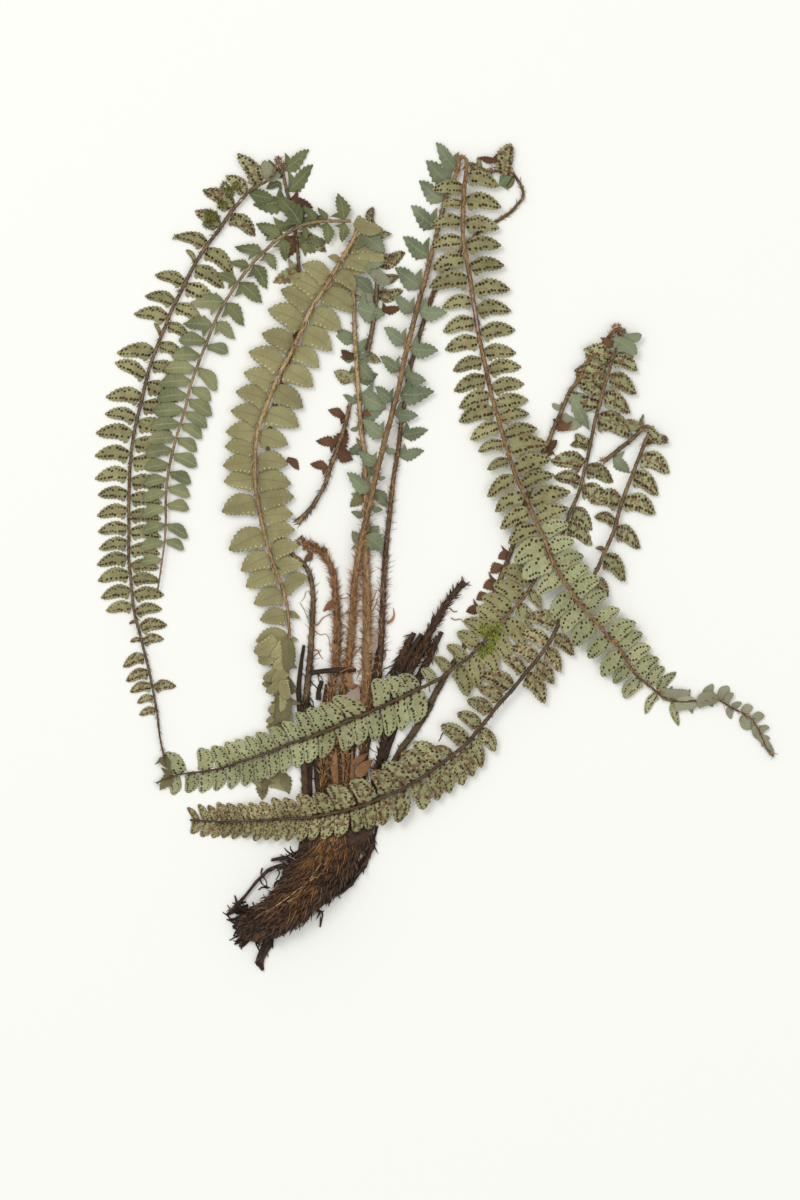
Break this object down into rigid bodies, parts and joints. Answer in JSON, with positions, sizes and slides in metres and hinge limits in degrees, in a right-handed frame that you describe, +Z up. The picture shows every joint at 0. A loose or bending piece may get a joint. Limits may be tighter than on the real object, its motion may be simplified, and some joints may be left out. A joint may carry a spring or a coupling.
{
  "type": "polystichum triangulum fern, pressed",
  "caption": "Whole tufted fern pressed flat and dried: a scaly rhizome with roots, scaly stipes, and long once-pinnate fronds folded over at their tops.",
  "frame": {"origin": "on the lying plane, under the middle of the plant's bounding box", "axes": "+Z up out of the pressed plant; +Y along the plant from the rhizome to the folded frond tops; +X to the right seen from above"},
  "size_m": [0.2572, 0.3134, 0.0106],
  "materials": {
    "upper_face": "dried leaf, smooth upper face",
    "under_face": "dried leaf, under face with sori",
    "olive_face": "dried leaf, yellowed",
    "withered": "dead leaf, dull brown",
    "midrib": "dry stalk, grooved",
    "scaly_stipe": "dry stalk under papery scales",
    "dead_stipe": "old dead stalk, dark",
    "rhizome": "rough, covered in scales"
  },
  "bodies": {
    "root": {"rhizome": "rhizome", "outer_left_stem": "midrib", "outer_left_leaflets_rising": "upper_face", "outer_left_leaflets": "under_face", "second_left_stem": "midrib", "second_left_leaflets": "upper_face", "third_stem": "scaly_stipe", "third_leaflets_rising": "upper_face", "third_leaflets": "olive_face", "long_right_stem": "scaly_stipe", "long_right_leaflets_rising": "upper_face", "long_right_leaflets": "under_face", "hooked_stem": "scaly_stipe", "hooked_leaflets": "upper_face", "hooked_tip_leaflets": "under_face", "small_centre_stem": "midrib", "small_centre_leaflets": "under_face", "withered_stem": "withered", "withered_leaflets": "withered", "upper_crossing_stem": "midrib", "upper_crossing_leaflets_rising": "upper_face", "upper_crossing_leaflets": "under_face", "lower_crossing_stem": "midrib", "lower_crossing_leaflets_rising": "upper_face", "lower_crossing_leaflets": "under_face", "curled_stipe": "scaly_stipe", "old_stipe_a": "dead_stipe", "old_stipe_b": "dead_stipe", "old_stipe_c": "dead_stipe", "cross_stick": "dead_stipe"}
  },
  "joints": []
}
